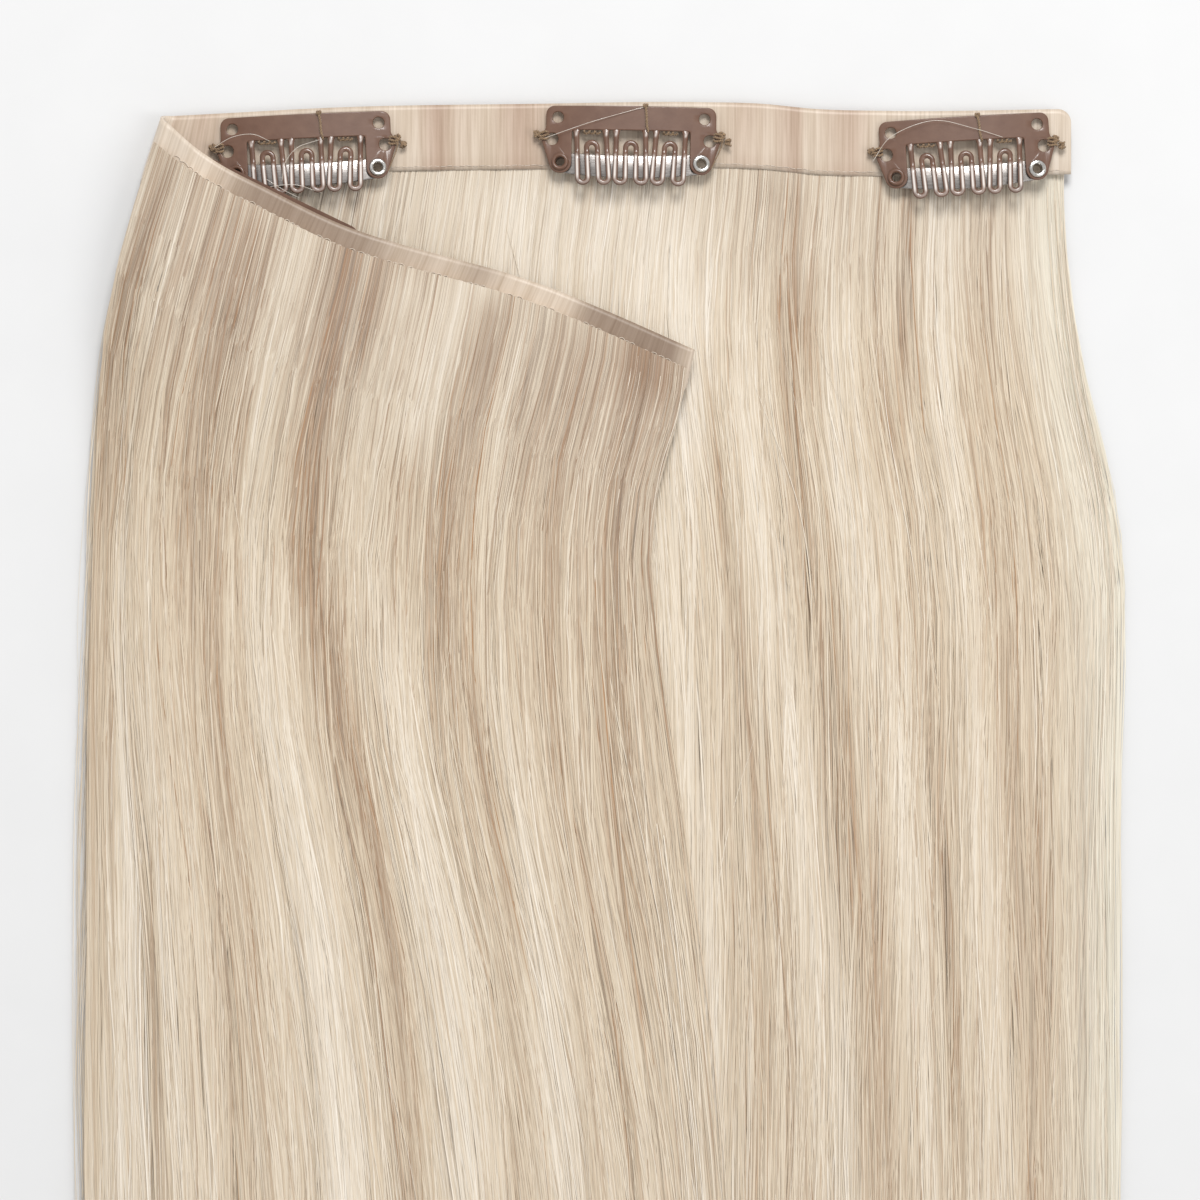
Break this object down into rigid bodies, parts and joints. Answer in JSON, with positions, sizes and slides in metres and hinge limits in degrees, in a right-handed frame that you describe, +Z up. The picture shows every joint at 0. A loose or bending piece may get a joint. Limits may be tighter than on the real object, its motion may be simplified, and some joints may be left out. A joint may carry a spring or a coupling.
{
  "type": "clip in hair extension",
  "caption": "Folded hair weft on a thin see-through tape with snap clips sewn to it; long straight hair hangs from both layers and lies flat.",
  "frame": {"origin": "middle of the whole on the surface that the hair lies on", "axes": "+X along the tape towards its free right-hand end, +Y from the hair tips to the tape, +Z up"},
  "size_m": [0.1832, 0.4306, 0.0113],
  "materials": {
    "tape": "satin, see-through",
    "hair": "silky",
    "lacquered_steel": "glossy lacquer",
    "nickel": "polished"
  },
  "bodies": {
    "root": {"weft_band": "tape", "hair_under": "hair", "hair_over": "hair", "clip_1_plate": "lacquered_steel", "clip_1_comb": "lacquered_steel", "clip_1_bow": "lacquered_steel", "clip_1_rivet_left": "lacquered_steel", "clip_1_rivet_right": "nickel", "clip_2_plate": "lacquered_steel", "clip_2_bow": "lacquered_steel", "clip_2_rivet_left": "lacquered_steel", "clip_2_rivet_right": "nickel", "clip_3_plate": "lacquered_steel", "clip_3_bow": "lacquered_steel", "clip_3_rivet_left": "lacquered_steel", "clip_3_rivet_right": "nickel", "clip_4": "lacquered_steel", "clip_5": "lacquered_steel"},
    "clip_2_comb": {"clip_2_comb": "lacquered_steel"},
    "clip_3_comb": {"clip_3_comb": "lacquered_steel"}
  },
  "joints": [
    {"name": "clip_2_snap", "type": "hinge", "parent": "root", "child": "clip_2_comb", "pos_m": [0.00663, 0.21054, 0.00466], "axis": [-0.9999, 0.0157, 0], "range_deg": [0, 25]},
    {"name": "clip_3_snap", "type": "hinge", "parent": "root", "child": "clip_3_comb", "pos_m": [0.06578, 0.20871, 0.00466], "axis": [-0.9981, -0.061, 0], "range_deg": [0, 25]}
  ]
}
